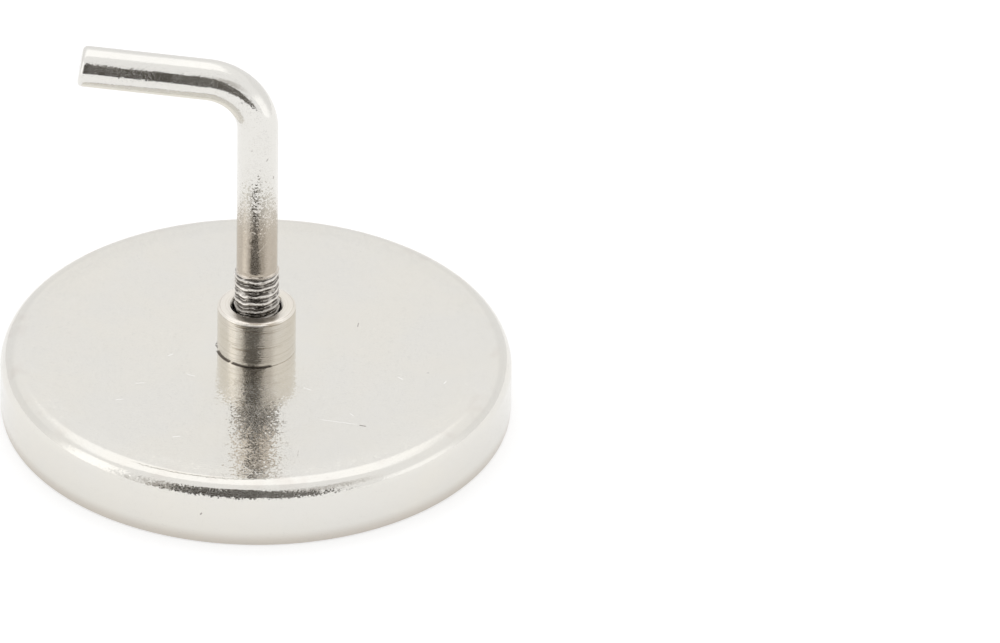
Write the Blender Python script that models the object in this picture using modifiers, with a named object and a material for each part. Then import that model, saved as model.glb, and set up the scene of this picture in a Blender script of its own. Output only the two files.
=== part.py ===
"""Magnetic hook: a flat pot magnet with a threaded bush and a screwed-in L hook.

Metres, +Z up. The origin is the centre of the magnet's contact face, so the pot
stands on z = 0 with the hook's shank on the +Z axis and its arm towards -X.
"""
import math

import bpy
import bmesh

# Pot: a cup drawn from sheet steel, open side down
POT_DIAMETER = 0.0600
POT_HEIGHT = 0.0080
POT_WALL = 0.0015
POT_SHOULDER_RADIUS = 0.0020
POT_MOUTH_CHAMFER = 0.0003

# Bush: turned, passed through the pot's web and swaged over underneath
BUSH_DIAMETER = 0.0092
BUSH_HEIGHT = 0.0056
BUSH_CHAMFER = 0.0003
BUSH_SEAT_CHAMFER = 0.0002
SPIGOT_DIAMETER = 0.0080
FOOT_DIAMETER = 0.0112
FOOT_THICKNESS = 0.0007
THREAD_BORE = 0.0060
THREAD_COUNTERSINK = 0.0003

# Hook: round bar with a rolled thread, bent to an L
ROD_DIAMETER = 0.0048
THREAD_DIAMETER = 0.0054
THREAD_LENGTH = 0.0078
THREAD_IN_VIEW = 0.0052
THREAD_POINT_CHAMFER = 0.0006
THREAD_RUNOUT = 0.0003
ARM_HEIGHT = 0.0298
ARM_REACH = 0.0206
ARM_RISE = math.radians(5.8)
BEND_RADIUS = 0.0065
ARM_END_CHAMFER = 0.0005

# Gap between neighbouring solids
CLEARANCE = 0.0003

# Resin that holds the magnet: a bed behind it and a ring round it
BED_THICKNESS = 0.0009
BED_RIM_STEP = 0.0010
POTTING_GAP = 0.0015
POTTING_RECESS = 0.0003
POTTING_CHAMFER = 0.0003

# Magnet: a ground ring that fills the cup but for the resin round and behind it
MAGNET_DIAMETER = POT_DIAMETER - 2 * (POT_WALL + POTTING_GAP)
MAGNET_BORE = 0.0240
MAGNET_THICKNESS = POT_HEIGHT - POT_WALL - BED_THICKNESS - 2 * CLEARANCE
MAGNET_CHAMFER = 0.0004

# Facets
POT_STEPS = 96
BUSH_STEPS = 48
SHOULDER_SEGMENTS = 6
CORNER_SEGMENTS = 3
FOOT_SEGMENTS = 4
BEND_SEGMENTS = 14
ROD_BEVEL_RESOLUTION = 14
WELD_DISTANCE = 0.000001

# Places that follow from the sizes
WEB_UNDERSIDE = POT_HEIGHT - POT_WALL
BUSH_SEAT = POT_HEIGHT + CLEARANCE
BUSH_TOP = BUSH_SEAT + BUSH_HEIGHT
FOOT_TOP = WEB_UNDERSIDE - CLEARANCE
FOOT_BOTTOM = FOOT_TOP - FOOT_THICKNESS
THREAD_TOP = BUSH_TOP + THREAD_IN_VIEW
THREAD_POINT = THREAD_TOP - THREAD_LENGTH
ARM_CENTRE = BUSH_TOP + ARM_HEIGHT
MAGNET_SEAT = MAGNET_THICKNESS + CLEARANCE


def clear_scene():
    for obj in list(bpy.data.objects):
        bpy.data.objects.remove(obj, do_unlink=True)


def new_collection(name):
    collection = bpy.data.collections.new(name)
    bpy.context.scene.collection.children.link(collection)
    return collection


def new_material(name, colour, metallic, roughness):
    material = bpy.data.materials.new(name)
    material.use_nodes = True
    shader = material.node_tree.nodes["Principled BSDF"]
    shader.inputs["Base Color"].default_value = (*colour, 1)
    shader.inputs["Metallic"].default_value = metallic
    shader.inputs["Roughness"].default_value = roughness
    return material


def arc(centre, radius, start, end, segments):
    """Points of an arc in the (radius, height) plane, angles in degrees, both ends kept."""
    points = []
    for step in range(segments + 1):
        angle = math.radians(start + (end - start) * step / segments)
        points.append((centre[0] + radius * math.cos(angle), centre[1] + radius * math.sin(angle)))
    return points


def turned(name, outline, steps, material, collection):
    """Spin a closed outline of (radius, height) points about Z.

    The outline runs from its top, down the outer side and back up the bore.
    """
    mesh = bpy.data.meshes.new(name)
    shape = bmesh.new()
    corners = [shape.verts.new((radius, 0, height)) for radius, height in outline]
    for index, corner in enumerate(corners):
        shape.edges.new((corner, corners[(index + 1) % len(corners)]))
    shape.to_mesh(mesh)
    shape.free()
    mesh.materials.append(material)
    obj = bpy.data.objects.new(name, mesh)
    collection.objects.link(obj)
    spin = obj.modifiers.new("Turn", "SCREW")
    spin.axis = "Z"
    spin.angle = math.tau
    spin.steps = steps
    spin.render_steps = steps
    spin.use_merge_vertices = True
    spin.merge_threshold = WELD_DISTANCE
    spin.use_smooth_shade = False
    return obj


def build_pot(collection):
    """The drawn steel cup: rounded shoulder, flat web with the bush's hole, open mouth below."""
    outer = POT_DIAMETER / 2
    inner = outer - POT_WALL
    corner = max(POT_SHOULDER_RADIUS - POT_WALL, CLEARANCE)
    hole = SPIGOT_DIAMETER / 2 + CLEARANCE
    shoulder_centre = (outer - POT_SHOULDER_RADIUS, POT_HEIGHT - POT_SHOULDER_RADIUS)
    corner_centre = (inner - corner, WEB_UNDERSIDE - corner)
    outline = [(hole, POT_HEIGHT)]
    outline += arc(shoulder_centre, POT_SHOULDER_RADIUS, 90, 0, SHOULDER_SEGMENTS)
    outline += [(outer, POT_MOUTH_CHAMFER), (outer - POT_MOUTH_CHAMFER, 0), (inner, 0)]
    outline += arc(corner_centre, corner, 0, 90, CORNER_SEGMENTS)
    outline += [(hole, WEB_UNDERSIDE)]
    plate = new_material("nickel_plate_pot", (0.76, 0.74, 0.70), 1, 0.25)
    return turned("pot_cup", outline, POT_STEPS, plate, collection)


def build_bush(collection):
    """The turned bush: collar above the web, spigot through it, swaged foot below it."""
    collar = BUSH_DIAMETER / 2
    spigot = SPIGOT_DIAMETER / 2
    foot = FOOT_DIAMETER / 2
    bore = THREAD_BORE / 2
    roll = FOOT_THICKNESS / 2
    outline = [
        (bore + THREAD_COUNTERSINK, BUSH_TOP),
        (collar - BUSH_CHAMFER, BUSH_TOP),
        (collar, BUSH_TOP - BUSH_CHAMFER),
        (collar, BUSH_SEAT + BUSH_SEAT_CHAMFER),
        (collar - BUSH_SEAT_CHAMFER, BUSH_SEAT),
        (spigot, BUSH_SEAT),
        (spigot, FOOT_TOP),
    ]
    outline += arc((foot - roll, FOOT_TOP - roll), roll, 90, -90, FOOT_SEGMENTS)
    outline += [
        (bore + THREAD_COUNTERSINK, FOOT_BOTTOM),
        (bore, FOOT_BOTTOM + THREAD_COUNTERSINK),
        (bore, BUSH_TOP - THREAD_COUNTERSINK),
    ]
    plate = new_material("nickel_plate_bush", (0.72, 0.69, 0.64), 1, 0.22)
    return turned("threaded_bush", outline, BUSH_STEPS, plate, collection)


def hook_path():
    """Centreline points and bar radii from the thread's point to the arm's end."""
    rod = ROD_DIAMETER / 2
    thread = THREAD_DIAMETER / 2
    bend_angle = math.pi / 2 - ARM_RISE
    tangent = BEND_RADIUS * math.tan(bend_angle / 2)
    bend_start = ARM_CENTRE - tangent
    path = [
        (0, THREAD_POINT, thread - THREAD_POINT_CHAMFER),
        (0, THREAD_POINT + THREAD_POINT_CHAMFER, thread),
        (0, THREAD_TOP - THREAD_RUNOUT, thread),
        (0, THREAD_TOP, rod),
    ]
    for step in range(BEND_SEGMENTS + 1):
        angle = bend_angle * step / BEND_SEGMENTS
        along = -BEND_RADIUS + BEND_RADIUS * math.cos(angle)
        path.append((along, bend_start + BEND_RADIUS * math.sin(angle), rod))
    for reach, radius in ((ARM_REACH - ARM_END_CHAMFER, rod), (ARM_REACH, rod - ARM_END_CHAMFER)):
        path.append((-reach * math.cos(ARM_RISE), ARM_CENTRE + reach * math.sin(ARM_RISE), radius))
    return path


def build_hook(collection):
    """The bent bar as one curve, its radius following thread, bar and end chamfers."""
    path = hook_path()
    curve = bpy.data.curves.new("hook_rod", "CURVE")
    curve.dimensions = "3D"
    curve.bevel_depth = ROD_DIAMETER / 2
    curve.bevel_resolution = ROD_BEVEL_RESOLUTION
    curve.use_fill_caps = True
    spline = curve.splines.new("POLY")
    spline.points.add(len(path) - 1)
    for point, (along, height, radius) in zip(spline.points, path):
        point.co = (along, 0, height - THREAD_POINT, 1)
        point.radius = radius / curve.bevel_depth
    curve.materials.append(new_material("nickel_plate_rod", (0.74, 0.72, 0.68), 1, 0.15))
    hook = bpy.data.objects.new("hook_rod", curve)
    collection.objects.link(hook)
    turn_axis = bpy.data.objects.new("hook_turn_axis", None)
    turn_axis.location = (0, 0, THREAD_POINT)
    collection.objects.link(turn_axis)
    hook.parent = turn_axis
    return hook


def build_magnet(collection):
    """The sintered ferrite ring, its ground face level with the pot's mouth."""
    outer = MAGNET_DIAMETER / 2
    bore = MAGNET_BORE / 2
    outline = [
        (bore + MAGNET_CHAMFER, MAGNET_THICKNESS),
        (outer - MAGNET_CHAMFER, MAGNET_THICKNESS),
        (outer, MAGNET_THICKNESS - MAGNET_CHAMFER),
        (outer, MAGNET_CHAMFER),
        (outer - MAGNET_CHAMFER, 0),
        (bore + MAGNET_CHAMFER, 0),
        (bore, MAGNET_CHAMFER),
        (bore, MAGNET_THICKNESS - MAGNET_CHAMFER),
    ]
    ferrite = new_material("ferrite", (0.045, 0.045, 0.050), 0, 0.55)
    return turned("ring_magnet", outline, POT_STEPS, ferrite, collection)


def build_bed(collection):
    """The resin bed between the magnet's back and the pot's web."""
    outer = MAGNET_DIAMETER / 2 - BED_RIM_STEP
    bore = MAGNET_BORE / 2 + BED_RIM_STEP
    top = WEB_UNDERSIDE - CLEARANCE
    outline = [(bore, top), (outer, top), (outer, MAGNET_SEAT), (bore, MAGNET_SEAT)]
    resin = new_material("bonding_resin", (0.30, 0.22, 0.12), 0, 0.35)
    return turned("adhesive_bed", outline, POT_STEPS, resin, collection)


def build_potting(collection):
    """The resin ring that fills the gap between the magnet and the pot's wall."""
    outer = POT_DIAMETER / 2 - POT_WALL - CLEARANCE
    bore = MAGNET_DIAMETER / 2 + CLEARANCE
    top = WEB_UNDERSIDE - CLEARANCE
    outline = [
        (bore, top),
        (outer - POTTING_CHAMFER, top),
        (outer, top - POTTING_CHAMFER),
        (outer, POTTING_RECESS),
        (bore, POTTING_RECESS),
    ]
    resin = new_material("potting_resin", (0.02, 0.02, 0.02), 0, 0.30)
    return turned("potting_ring", outline, POT_STEPS, resin, collection)


def main():
    clear_scene()
    collection = new_collection("magnetic_hook")
    build_pot(collection)
    build_bush(collection)
    build_hook(collection)
    build_magnet(collection)
    build_bed(collection)
    build_potting(collection)
    bpy.context.view_layer.update()


main()
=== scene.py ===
"""Magnetic hook: plated cup, turned bush, threaded bar hook and ferrite ring in a white studio."""
import math
from types import SimpleNamespace

import bpy
import bmesh
from mathutils import Matrix, Vector, noise as field

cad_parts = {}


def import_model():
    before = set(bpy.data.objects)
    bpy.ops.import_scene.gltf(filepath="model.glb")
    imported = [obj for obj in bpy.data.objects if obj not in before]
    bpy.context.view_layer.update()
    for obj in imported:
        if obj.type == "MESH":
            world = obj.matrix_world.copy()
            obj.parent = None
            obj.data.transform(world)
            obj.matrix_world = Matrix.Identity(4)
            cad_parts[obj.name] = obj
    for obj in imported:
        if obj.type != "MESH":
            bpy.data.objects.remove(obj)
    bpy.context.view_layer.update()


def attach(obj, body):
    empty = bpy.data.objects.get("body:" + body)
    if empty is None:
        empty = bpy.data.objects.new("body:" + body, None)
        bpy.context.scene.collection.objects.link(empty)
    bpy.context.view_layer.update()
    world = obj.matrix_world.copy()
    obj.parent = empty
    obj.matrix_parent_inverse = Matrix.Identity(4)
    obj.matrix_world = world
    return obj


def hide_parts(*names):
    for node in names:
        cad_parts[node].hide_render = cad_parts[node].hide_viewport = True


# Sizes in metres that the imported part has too
CUP_RADIUS = 0.03
CUP_HEIGHT = 0.008
CUP_WALL = 0.0015
CUP_INSIDE = CUP_RADIUS - CUP_WALL
CUP_UNDER = CUP_HEIGHT - CUP_WALL
CLEARANCE = 0.0003
BUSH_HOLE = 0.0043
COLLAR_RADIUS = 0.0046
COLLAR_TOP = 0.0139
SPIGOT_RADIUS = 0.004
FOOT_RADIUS = 0.0056
FOOT_THICKNESS = 0.0007
BAR_RADIUS = 0.0024
THREAD_TOP = 0.0191
THREAD_POINT = 0.0113
THREAD_CREST = 0.0027
ARM_CENTRE = 0.0437
ARM_REACH = 0.0206
ARM_RISE = math.radians(5.8)
BEND_RADIUS = 0.0065
MAGNET_RADIUS = 0.027
MAGNET_BORE = 0.012
MAGNET_THICKNESS = 0.005
MAGNET_CHAMFER = 0.0004
BED_STEP = 0.001

# Sizes in metres of the dressed shapes alone. The cup's corner has three arcs, as the photo's
# highlights ask for, each given as its radius and the degrees where it starts and ends.
CUP_ROUNDING = ((0.0024, 90, 61), (0.0016, 61, 41), (0.0023, 41, 0))
CUP_INNER_ROUND = 0.0005
MOUTH_ROUND = 0.0004
MOUTH_BREAK = 0.0001
HOLE_EDGE = 0.00008
SEAT_GAP = 0.00001
SEAT_EDGE = 0.00006
LIP_RADIUS = 0.00016
LIP_DROP = 0.00029
LIP_START = 66
FACE_RADIUS = 0.00418
FACE_EDGE = 0.00004
FACE_FALL = 0.00001
FOOT_ROUND = 0.00035
FOOT_LEAD = 0.0004
END_ROUND = 0.0006
GROUND_CORNER = 0.0003
BED_GAP = 0.0002
POTTING_LEVEL = 0.00045
POTTING_CREEP = 0.0003
POTTING_POWER = 4
BEAD_ZONE = 0.00001

# Fineness: steps round an axis, rings along a side, parts round an edge
CUP_STEPS = 256
BUSH_STEPS = 128
RING_STEPS = 192
BAR_STEPS = 72
BEND_STEPS = 36
SHANK_RINGS = 40
ARM_RINGS = 24
WEB_RINGS = 24
FACE_RINGS = 12
COLLAR_RINGS = 10
WALL_RINGS = 8
SHORT_RINGS = 4
BED_RINGS = 3
SHOULDER_PARTS = 10
ROUND_PARTS = 8
LIP_PARTS = 7
END_PARTS = 6
POTTING_PARTS = 6
EDGE_PARTS = 5
BREAK_PARTS = 3

# Degrees that are shaded smoothly, and lengths that count as none
SMOOTH_METAL = 35
SMOOTH_BAR = 40
SMOOTH_RESIN = 50
MERGE_DISTANCE = 0.000001
CUT_THRESHOLD = 0.0000001
START_SIZE = 0.001

# Waves in the resin's bead: height, number round the bore and start
BEAD_WAVES = ((0.00035, 5, 0.7), (0.0002, 13, 2.1))

# Bush thread: crest, depth and mouth, and one turn as shares of depth and pitch
PITCH = 0.0010
BORE_CREST = 0.00288
BORE_DEPTH = 0.00024
BORE_MOUTH = 0.00312
BORE_SHARES = ((0, 0), (1, 0.3), (1, 0.5), (0, 0.8))

# Rolled thread: one turn as shares of pitch and of the rise from root to crest
THREAD_ROOT = 0.00239
THREAD_SHARES = (
    (0.00, 0), (0.06, 0), (0.12, 0.22), (0.18, 0.80), (0.22, 0.98), (0.25, 1),
    (0.31, 0.98), (0.37, 0.78), (0.44, 0.48), (0.52, 0.26), (0.60, 0.16), (0.66, 0.16),
    (0.72, 0.46), (0.77, 0.66), (0.81, 0.62), (0.87, 0.24), (0.92, 0.04), (1.00, 0),
)
POINT_RADIUS = 0.0021
RUN_OUT_INSET = 0.00002
RUN_OUT_SLOPE = 0.55
THREAD_MERGE = 0.000002

# Unevenness of the rolled crests: its zone, and scale and depth of wear and wander
CREST_ZONE = 0.00245
CREST_ENDS = 0.0001
CREST_WEAR = (1700, 0.00013)
CREST_WANDER = (850, 0.00022)

# The bar's neck in the thread, its bend and the way its arm runs
NECK_INSET = 0.00012
NECK_HEIGHT = 0.00018
NECK_START = THREAD_TOP - 0.0002
END_SLANT = 0.07
LINE_SQUEEZE = 0.05
BEND_ANGLE = math.pi / 2 - ARM_RISE
BEND_TANGENT = BEND_RADIUS * math.tan(BEND_ANGLE / 2)
BEND_START = ARM_CENTRE - BEND_TANGENT
ARM_ALONG = Vector((-math.cos(ARM_RISE), 0, math.sin(ARM_RISE)))
ARM_UPWARDS = Vector((math.sin(ARM_RISE), 0, math.cos(ARM_RISE)))

# Camera, fitted to the cup's outline in the photo
CAMERA_AZIMUTH = math.radians(1.6)
CAMERA_ELEVATION = math.radians(33)
CAMERA_ROLL = math.radians(0.35)
CAMERA_DISTANCE = 1.0
FOCAL_PIXELS = 8490
PHOTO_WIDTH = 1000
ORIGIN_LEFT = 243.9
ORIGIN_BELOW = 82.3
SENSOR_WIDTH = 36.0
CAMERA_CLIP = (0.1, 10)


# Modelling helpers

def begin():
    bpy.ops.object.select_all(action="DESELECT")


def select_piece(piece):
    begin()
    piece.select_set(True)
    bpy.context.view_layer.objects.active = piece


def name_piece(name):
    piece = bpy.context.object
    piece.name = name
    piece.data.name = name
    return piece


def select_mesh():
    bpy.ops.mesh.select_all(action="SELECT")


def start_edit(name):
    """Names a new primitive, applies its place and opens it in edit mode."""
    piece = name_piece(name)
    bpy.ops.object.transform_apply(location=True, rotation=True, scale=True)
    bpy.ops.object.mode_set(mode="EDIT")
    select_mesh()
    return piece


def end_edit():
    bpy.ops.object.mode_set(mode="OBJECT")


def tidy_shell(distance=MERGE_DISTANCE):
    """Merges doubled points and turns every face outwards."""
    select_mesh()
    bpy.ops.mesh.remove_doubles(threshold=distance)
    bpy.ops.mesh.normals_make_consistent(inside=False)


def extrude(offset, rings=1):
    """Extrudes the selection along an offset, in equal steps."""
    step = tuple(part / rings for part in offset)
    for _ in range(rings):
        bpy.ops.mesh.extrude_region_move(TRANSFORM_OT_translate={"value": step})


def smooth(piece, degrees):
    select_piece(piece)
    bpy.ops.object.shade_smooth_by_angle(angle=math.radians(degrees))


def weigh_normals(piece):
    """Large flat faces keep flat shading where they meet small rounded ones."""
    select_piece(piece)
    weighted = piece.modifiers.new("Even shading", "WEIGHTED_NORMAL")
    weighted.keep_sharp = True
    bpy.ops.object.modifier_apply(modifier=weighted.name)


def arc(centre, radius, start, end, segments):
    """Points of an arc in the (radius, height) plane, angles in degrees."""
    points = []
    for step in range(segments + 1):
        angle = math.radians(start + (end - start) * step / segments)
        points.append((centre[0] + radius * math.cos(angle), centre[1] + radius * math.sin(angle)))
    return points


def spread(start, end, parts):
    """Points between two corners, both corners left out."""
    return [tuple(low + (high - low) * step / parts for low, high in zip(start, end))
            for step in range(1, parts)]


def draw_outline(name, outline):
    """A plane merged to a point is extruded from corner to corner of an outline."""
    begin()
    bpy.ops.mesh.primitive_plane_add(size=START_SIZE, location=(outline[0][0], 0, outline[0][1]))
    piece = start_edit(name)
    bpy.ops.mesh.merge(type="CENTER")
    for here, there in zip(outline, outline[1:]):
        extrude((there[0] - here[0], 0, there[1] - here[1]))
    return piece


def turned_outline(name, outline, steps):
    """An outline is closed between its two ends and spun about Z."""
    piece = draw_outline(name, outline)
    select_mesh()
    shape = bmesh.from_edit_mesh(piece.data)
    ends = [vert for vert in shape.verts if len(vert.link_edges) == 1]
    for vert in shape.verts:
        vert.select_set(vert in ends)
    shape.select_flush_mode()
    bmesh.update_edit_mesh(piece.data)
    bpy.ops.mesh.edge_face_add()
    select_mesh()
    bpy.ops.mesh.spin(steps=steps, angle=math.tau, center=(0, 0, 0), axis=(0, 0, 1))
    tidy_shell()
    end_edit()
    return piece


# Pieces

def cup_shoulder():
    """The drawn corner: its arcs laid end to end, the last one running into the wall."""
    points = [(0, CUP_HEIGHT)]
    for radius, start, end in CUP_ROUNDING:
        here = arc((0, 0), radius, start, end, SHOULDER_PARTS)
        last = points[-1]
        points += [(last[0] + x - here[0][0], last[1] + z - here[0][1]) for x, z in here[1:]]
    shift = CUP_RADIUS - points[-1][0]
    return [(across + shift, height) for across, height in points]


def make_cup():
    """Drawn steel cup: web, rounded shoulder, wall with a trimmed mouth, hole for the bush."""
    corner = (CUP_INSIDE - CUP_INNER_ROUND, CUP_UNDER - CUP_INNER_ROUND)
    outline = [(BUSH_HOLE, CUP_HEIGHT - HOLE_EDGE), (BUSH_HOLE + HOLE_EDGE, CUP_HEIGHT)]
    shoulder = cup_shoulder()
    outline += spread((BUSH_HOLE, CUP_HEIGHT), shoulder[0], WEB_RINGS) + shoulder
    outline += spread(shoulder[-1], (CUP_RADIUS, MOUTH_ROUND), WALL_RINGS)
    outline += arc((CUP_RADIUS - MOUTH_ROUND, MOUTH_ROUND), MOUTH_ROUND, 0, -90, EDGE_PARTS)
    outline += [(CUP_INSIDE + MOUTH_BREAK, 0), (CUP_INSIDE, MOUTH_BREAK)]
    outline += spread((CUP_INSIDE, MOUTH_BREAK), (CUP_INSIDE, corner[1]), SHORT_RINGS)
    outline += arc(corner, CUP_INNER_ROUND, 0, 90, EDGE_PARTS)
    outline += spread((corner[0], CUP_UNDER), (BUSH_HOLE, CUP_UNDER), WALL_RINGS)
    outline += [(BUSH_HOLE, CUP_UNDER)]
    cup = turned_outline("plated_cup", outline, CUP_STEPS)
    smooth(cup, SMOOTH_METAL)
    weigh_normals(cup)
    return cup


def bore_ridges(low, high):
    """The bore's thread in section: ridges one pitch apart, clear of the hook's crests."""
    points = [(BORE_CREST, low)]
    height = low + PITCH / 4
    while height + PITCH * 3 / 4 < high:
        points += [(BORE_CREST + BORE_DEPTH * deep, height + PITCH * share)
                   for deep, share in BORE_SHARES]
        height += PITCH
    points.append((BORE_CREST, high))
    return points


def make_bush():
    """Turned bush: collar on the web, spigot through its hole, swaged foot and threaded bore."""
    seat = CUP_HEIGHT + SEAT_GAP
    foot_top = CUP_UNDER - CLEARANCE
    foot_end = foot_top - FOOT_THICKNESS
    lip = arc((COLLAR_RADIUS - LIP_RADIUS, COLLAR_TOP - LIP_DROP), LIP_RADIUS, LIP_START, 0,
              LIP_PARTS)
    foot = (FOOT_RADIUS - FOOT_ROUND, foot_top - FOOT_ROUND)
    outline = [(BORE_MOUTH, COLLAR_TOP - FACE_EDGE), (BORE_MOUTH + FACE_EDGE, COLLAR_TOP)]
    outline += spread((BORE_MOUTH, COLLAR_TOP), (FACE_RADIUS, COLLAR_TOP), SHORT_RINGS)
    outline += [(FACE_RADIUS, COLLAR_TOP), (FACE_RADIUS + FACE_EDGE, COLLAR_TOP - FACE_FALL)]
    outline += lip + spread(lip[-1], (COLLAR_RADIUS, seat + SEAT_EDGE), COLLAR_RINGS)
    outline += arc((COLLAR_RADIUS - SEAT_EDGE, seat + SEAT_EDGE), SEAT_EDGE, 0, -90,
                   BREAK_PARTS)
    outline += [(SPIGOT_RADIUS, seat), (SPIGOT_RADIUS, foot_top)]
    outline += arc(foot, FOOT_ROUND, 90, -90, ROUND_PARTS)
    outline += spread((foot[0], foot_end), (BORE_MOUTH, foot_end), SHORT_RINGS)
    outline += [(BORE_MOUTH, foot_end)]
    outline += bore_ridges(foot_top - FOOT_LEAD, COLLAR_TOP - BORE_DEPTH)
    bush = turned_outline("turned_bush", outline, BUSH_STEPS)
    smooth(bush, SMOOTH_METAL)
    weigh_normals(bush)
    return bush


def thread_limit(height):
    """Largest radius that the thread may have at a height: point chamfer below, run-out above."""
    point = POINT_RADIUS + (height - THREAD_POINT)
    run_out = BAR_RADIUS - RUN_OUT_INSET + max(0, THREAD_TOP - height) * RUN_OUT_SLOPE
    return min(point, run_out)


def screw_up(thread):
    """The drawn turn is screwed upwards, one pitch a turn, past both ends of the thread."""
    screw = thread.modifiers.new("Thread", "SCREW")
    screw.axis = "Z"
    screw.angle = math.tau
    screw.screw_offset = PITCH
    screw.iterations = math.ceil((THREAD_TOP - THREAD_POINT) / PITCH) + 2
    screw.steps = screw.render_steps = BAR_STEPS
    screw.use_merge_vertices = True
    screw.merge_threshold = THREAD_MERGE
    bpy.ops.object.modifier_apply(modifier=screw.name)


def cut_thread():
    """Cuts the thread level at both ends and closes it there."""
    tidy_shell(THREAD_MERGE)
    for height, clear_low in ((THREAD_POINT, True), (THREAD_TOP, False)):
        select_mesh()
        bpy.ops.mesh.bisect(plane_co=(0, 0, height), plane_no=(0, 0, 1), use_fill=True,
                            clear_inner=clear_low, clear_outer=not clear_low,
                            threshold=CUT_THRESHOLD)
    tidy_shell(THREAD_MERGE)


def roughen_crests(thread):
    """Crests wander and wear unevenly, and nothing stands over the thread's limit."""
    for vert in thread.data.vertices:
        radius = math.hypot(vert.co.x, vert.co.y)
        limit = thread_limit(vert.co.z)
        inside = THREAD_POINT + CREST_ENDS < vert.co.z < THREAD_TOP - CREST_ENDS
        if radius > CREST_ZONE and inside:
            limit = min(limit, radius - abs(field.noise(vert.co * CREST_WEAR[0])) * CREST_WEAR[1])
            vert.co.z += field.noise(vert.co * CREST_WANDER[0]) * CREST_WANDER[1]
        if radius > limit > 0:
            vert.co.x *= limit / radius
            vert.co.y *= limit / radius


def make_thread():
    """The rolled thread, from its point to its run-out under the bar."""
    low, rise = THREAD_POINT - PITCH, THREAD_CREST - THREAD_ROOT
    thread = draw_outline("hook_thread", [(THREAD_ROOT + rise * out, low + PITCH * up)
                                          for up, out in THREAD_SHARES])
    end_edit()
    screw_up(thread)
    bpy.ops.object.mode_set(mode="EDIT")
    cut_thread()
    end_edit()
    roughen_crests(thread)
    return thread


def end_ring(shape):
    """The selected points at the bar's end and their centre."""
    ring = [vert for vert in shape.verts if vert.select]
    return ring, sum((vert.co for vert in ring), Vector()) / len(ring)


def slant_end(bar):
    """The bar was cut a little off square: the end ring's upper side stands back."""
    shape = bmesh.from_edit_mesh(bar.data)
    ring, centre = end_ring(shape)
    for vert in ring:
        vert.co -= ARM_ALONG * (vert.co - centre).dot(ARM_UPWARDS) * END_SLANT
    bmesh.update_edit_mesh(bar.data)


def shrink_end(bar, inwards):
    """Scales the selected end ring towards its own centre."""
    shape = bmesh.from_edit_mesh(bar.data)
    ring, centre = end_ring(shape)
    radius = max((vert.co - centre).length for vert in ring)
    share = (radius - inwards) / radius
    bpy.ops.transform.resize(value=(share, share, share), center_override=centre)


def round_end(bar):
    """The arm's end is rounded over, ring by ring."""
    for step in range(END_PARTS):
        before, now = (math.pi / 2 * part / END_PARTS for part in (step, step + 1))
        extrude(ARM_ALONG * (END_ROUND * (math.sin(now) - math.sin(before))))
        shrink_end(bar, END_ROUND * (math.cos(before) - math.cos(now)))


def make_bar():
    """The bar above the thread: a ring extruded up, spun round the bend and run out."""
    neck = BAR_RADIUS - NECK_INSET
    begin()
    bpy.ops.mesh.primitive_circle_add(vertices=BAR_STEPS, radius=neck, location=(0, 0, NECK_START))
    bar = start_edit("hook_bar")
    bpy.ops.mesh.edge_face_add()
    extrude((0, 0, NECK_HEIGHT))
    bpy.ops.transform.resize(value=(BAR_RADIUS / neck, BAR_RADIUS / neck, 1))
    extrude((0, 0, BEND_START - NECK_START - NECK_HEIGHT), SHANK_RINGS)
    bpy.ops.mesh.spin(steps=BEND_STEPS, angle=BEND_ANGLE, axis=(0, 1, 0),
                      center=(-BEND_RADIUS, 0, BEND_START))
    extrude(ARM_ALONG * (ARM_REACH - END_ROUND - BEND_TANGENT), ARM_RINGS)
    slant_end(bar)
    round_end(bar)
    tidy_shell()
    end_edit()
    return bar


def lay_lines_along(hook):
    """Stores where each point lies across and along the bar, for the lines on it."""
    centre = Vector((-BEND_RADIUS, 0, BEND_START))
    places = hook.data.attributes.new("along_bar", "FLOAT_VECTOR", "POINT")
    for vert, place in zip(hook.data.vertices, places.data):
        away = vert.co - centre
        turn = math.atan2(away.z, away.x)
        if away.z <= 0:
            across, length = vert.co.x, vert.co.z
        elif turn < BEND_ANGLE:
            across = math.hypot(away.x, away.z) - BEND_RADIUS
            length = BEND_START + BEND_RADIUS * turn
        else:
            across = away.dot(ARM_UPWARDS) - BEND_RADIUS
            length = BEND_START + BEND_RADIUS * BEND_ANGLE + away.dot(ARM_ALONG)
        place.vector = (across, vert.co.y, length * LINE_SQUEEZE)


def make_hook():
    thread = make_thread()
    bar = make_bar()
    select_piece(bar)
    thread.select_set(True)
    bpy.ops.object.join()
    hook = name_piece("threaded_hook")
    lay_lines_along(hook)
    smooth(hook, SMOOTH_BAR)
    return hook


def make_magnet():
    """Sintered ring with a ground face and small broken corners."""
    bore, rim, top = MAGNET_BORE, MAGNET_RADIUS, MAGNET_THICKNESS
    edge, corner = MAGNET_CHAMFER, GROUND_CORNER
    outline = arc((bore + edge, top - edge), edge, 180, 90, BREAK_PARTS)
    outline += spread((bore + edge, top), (rim - edge, top), WALL_RINGS)
    outline += arc((rim - edge, top - edge), edge, 90, 0, BREAK_PARTS)
    outline += spread((rim, top - edge), (rim, corner), SHORT_RINGS)
    outline += arc((rim - corner, corner), corner, 0, -90, BREAK_PARTS)
    outline += spread((rim - corner, 0), (bore + corner, 0), FACE_RINGS)
    outline += arc((bore + corner, corner), corner, -90, -180, BREAK_PARTS)
    outline += spread((bore, corner), (bore, top - edge), SHORT_RINGS)
    magnet = turned_outline("ferrite_ring", outline, RING_STEPS)
    smooth(magnet, SMOOTH_METAL)
    return magnet


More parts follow.
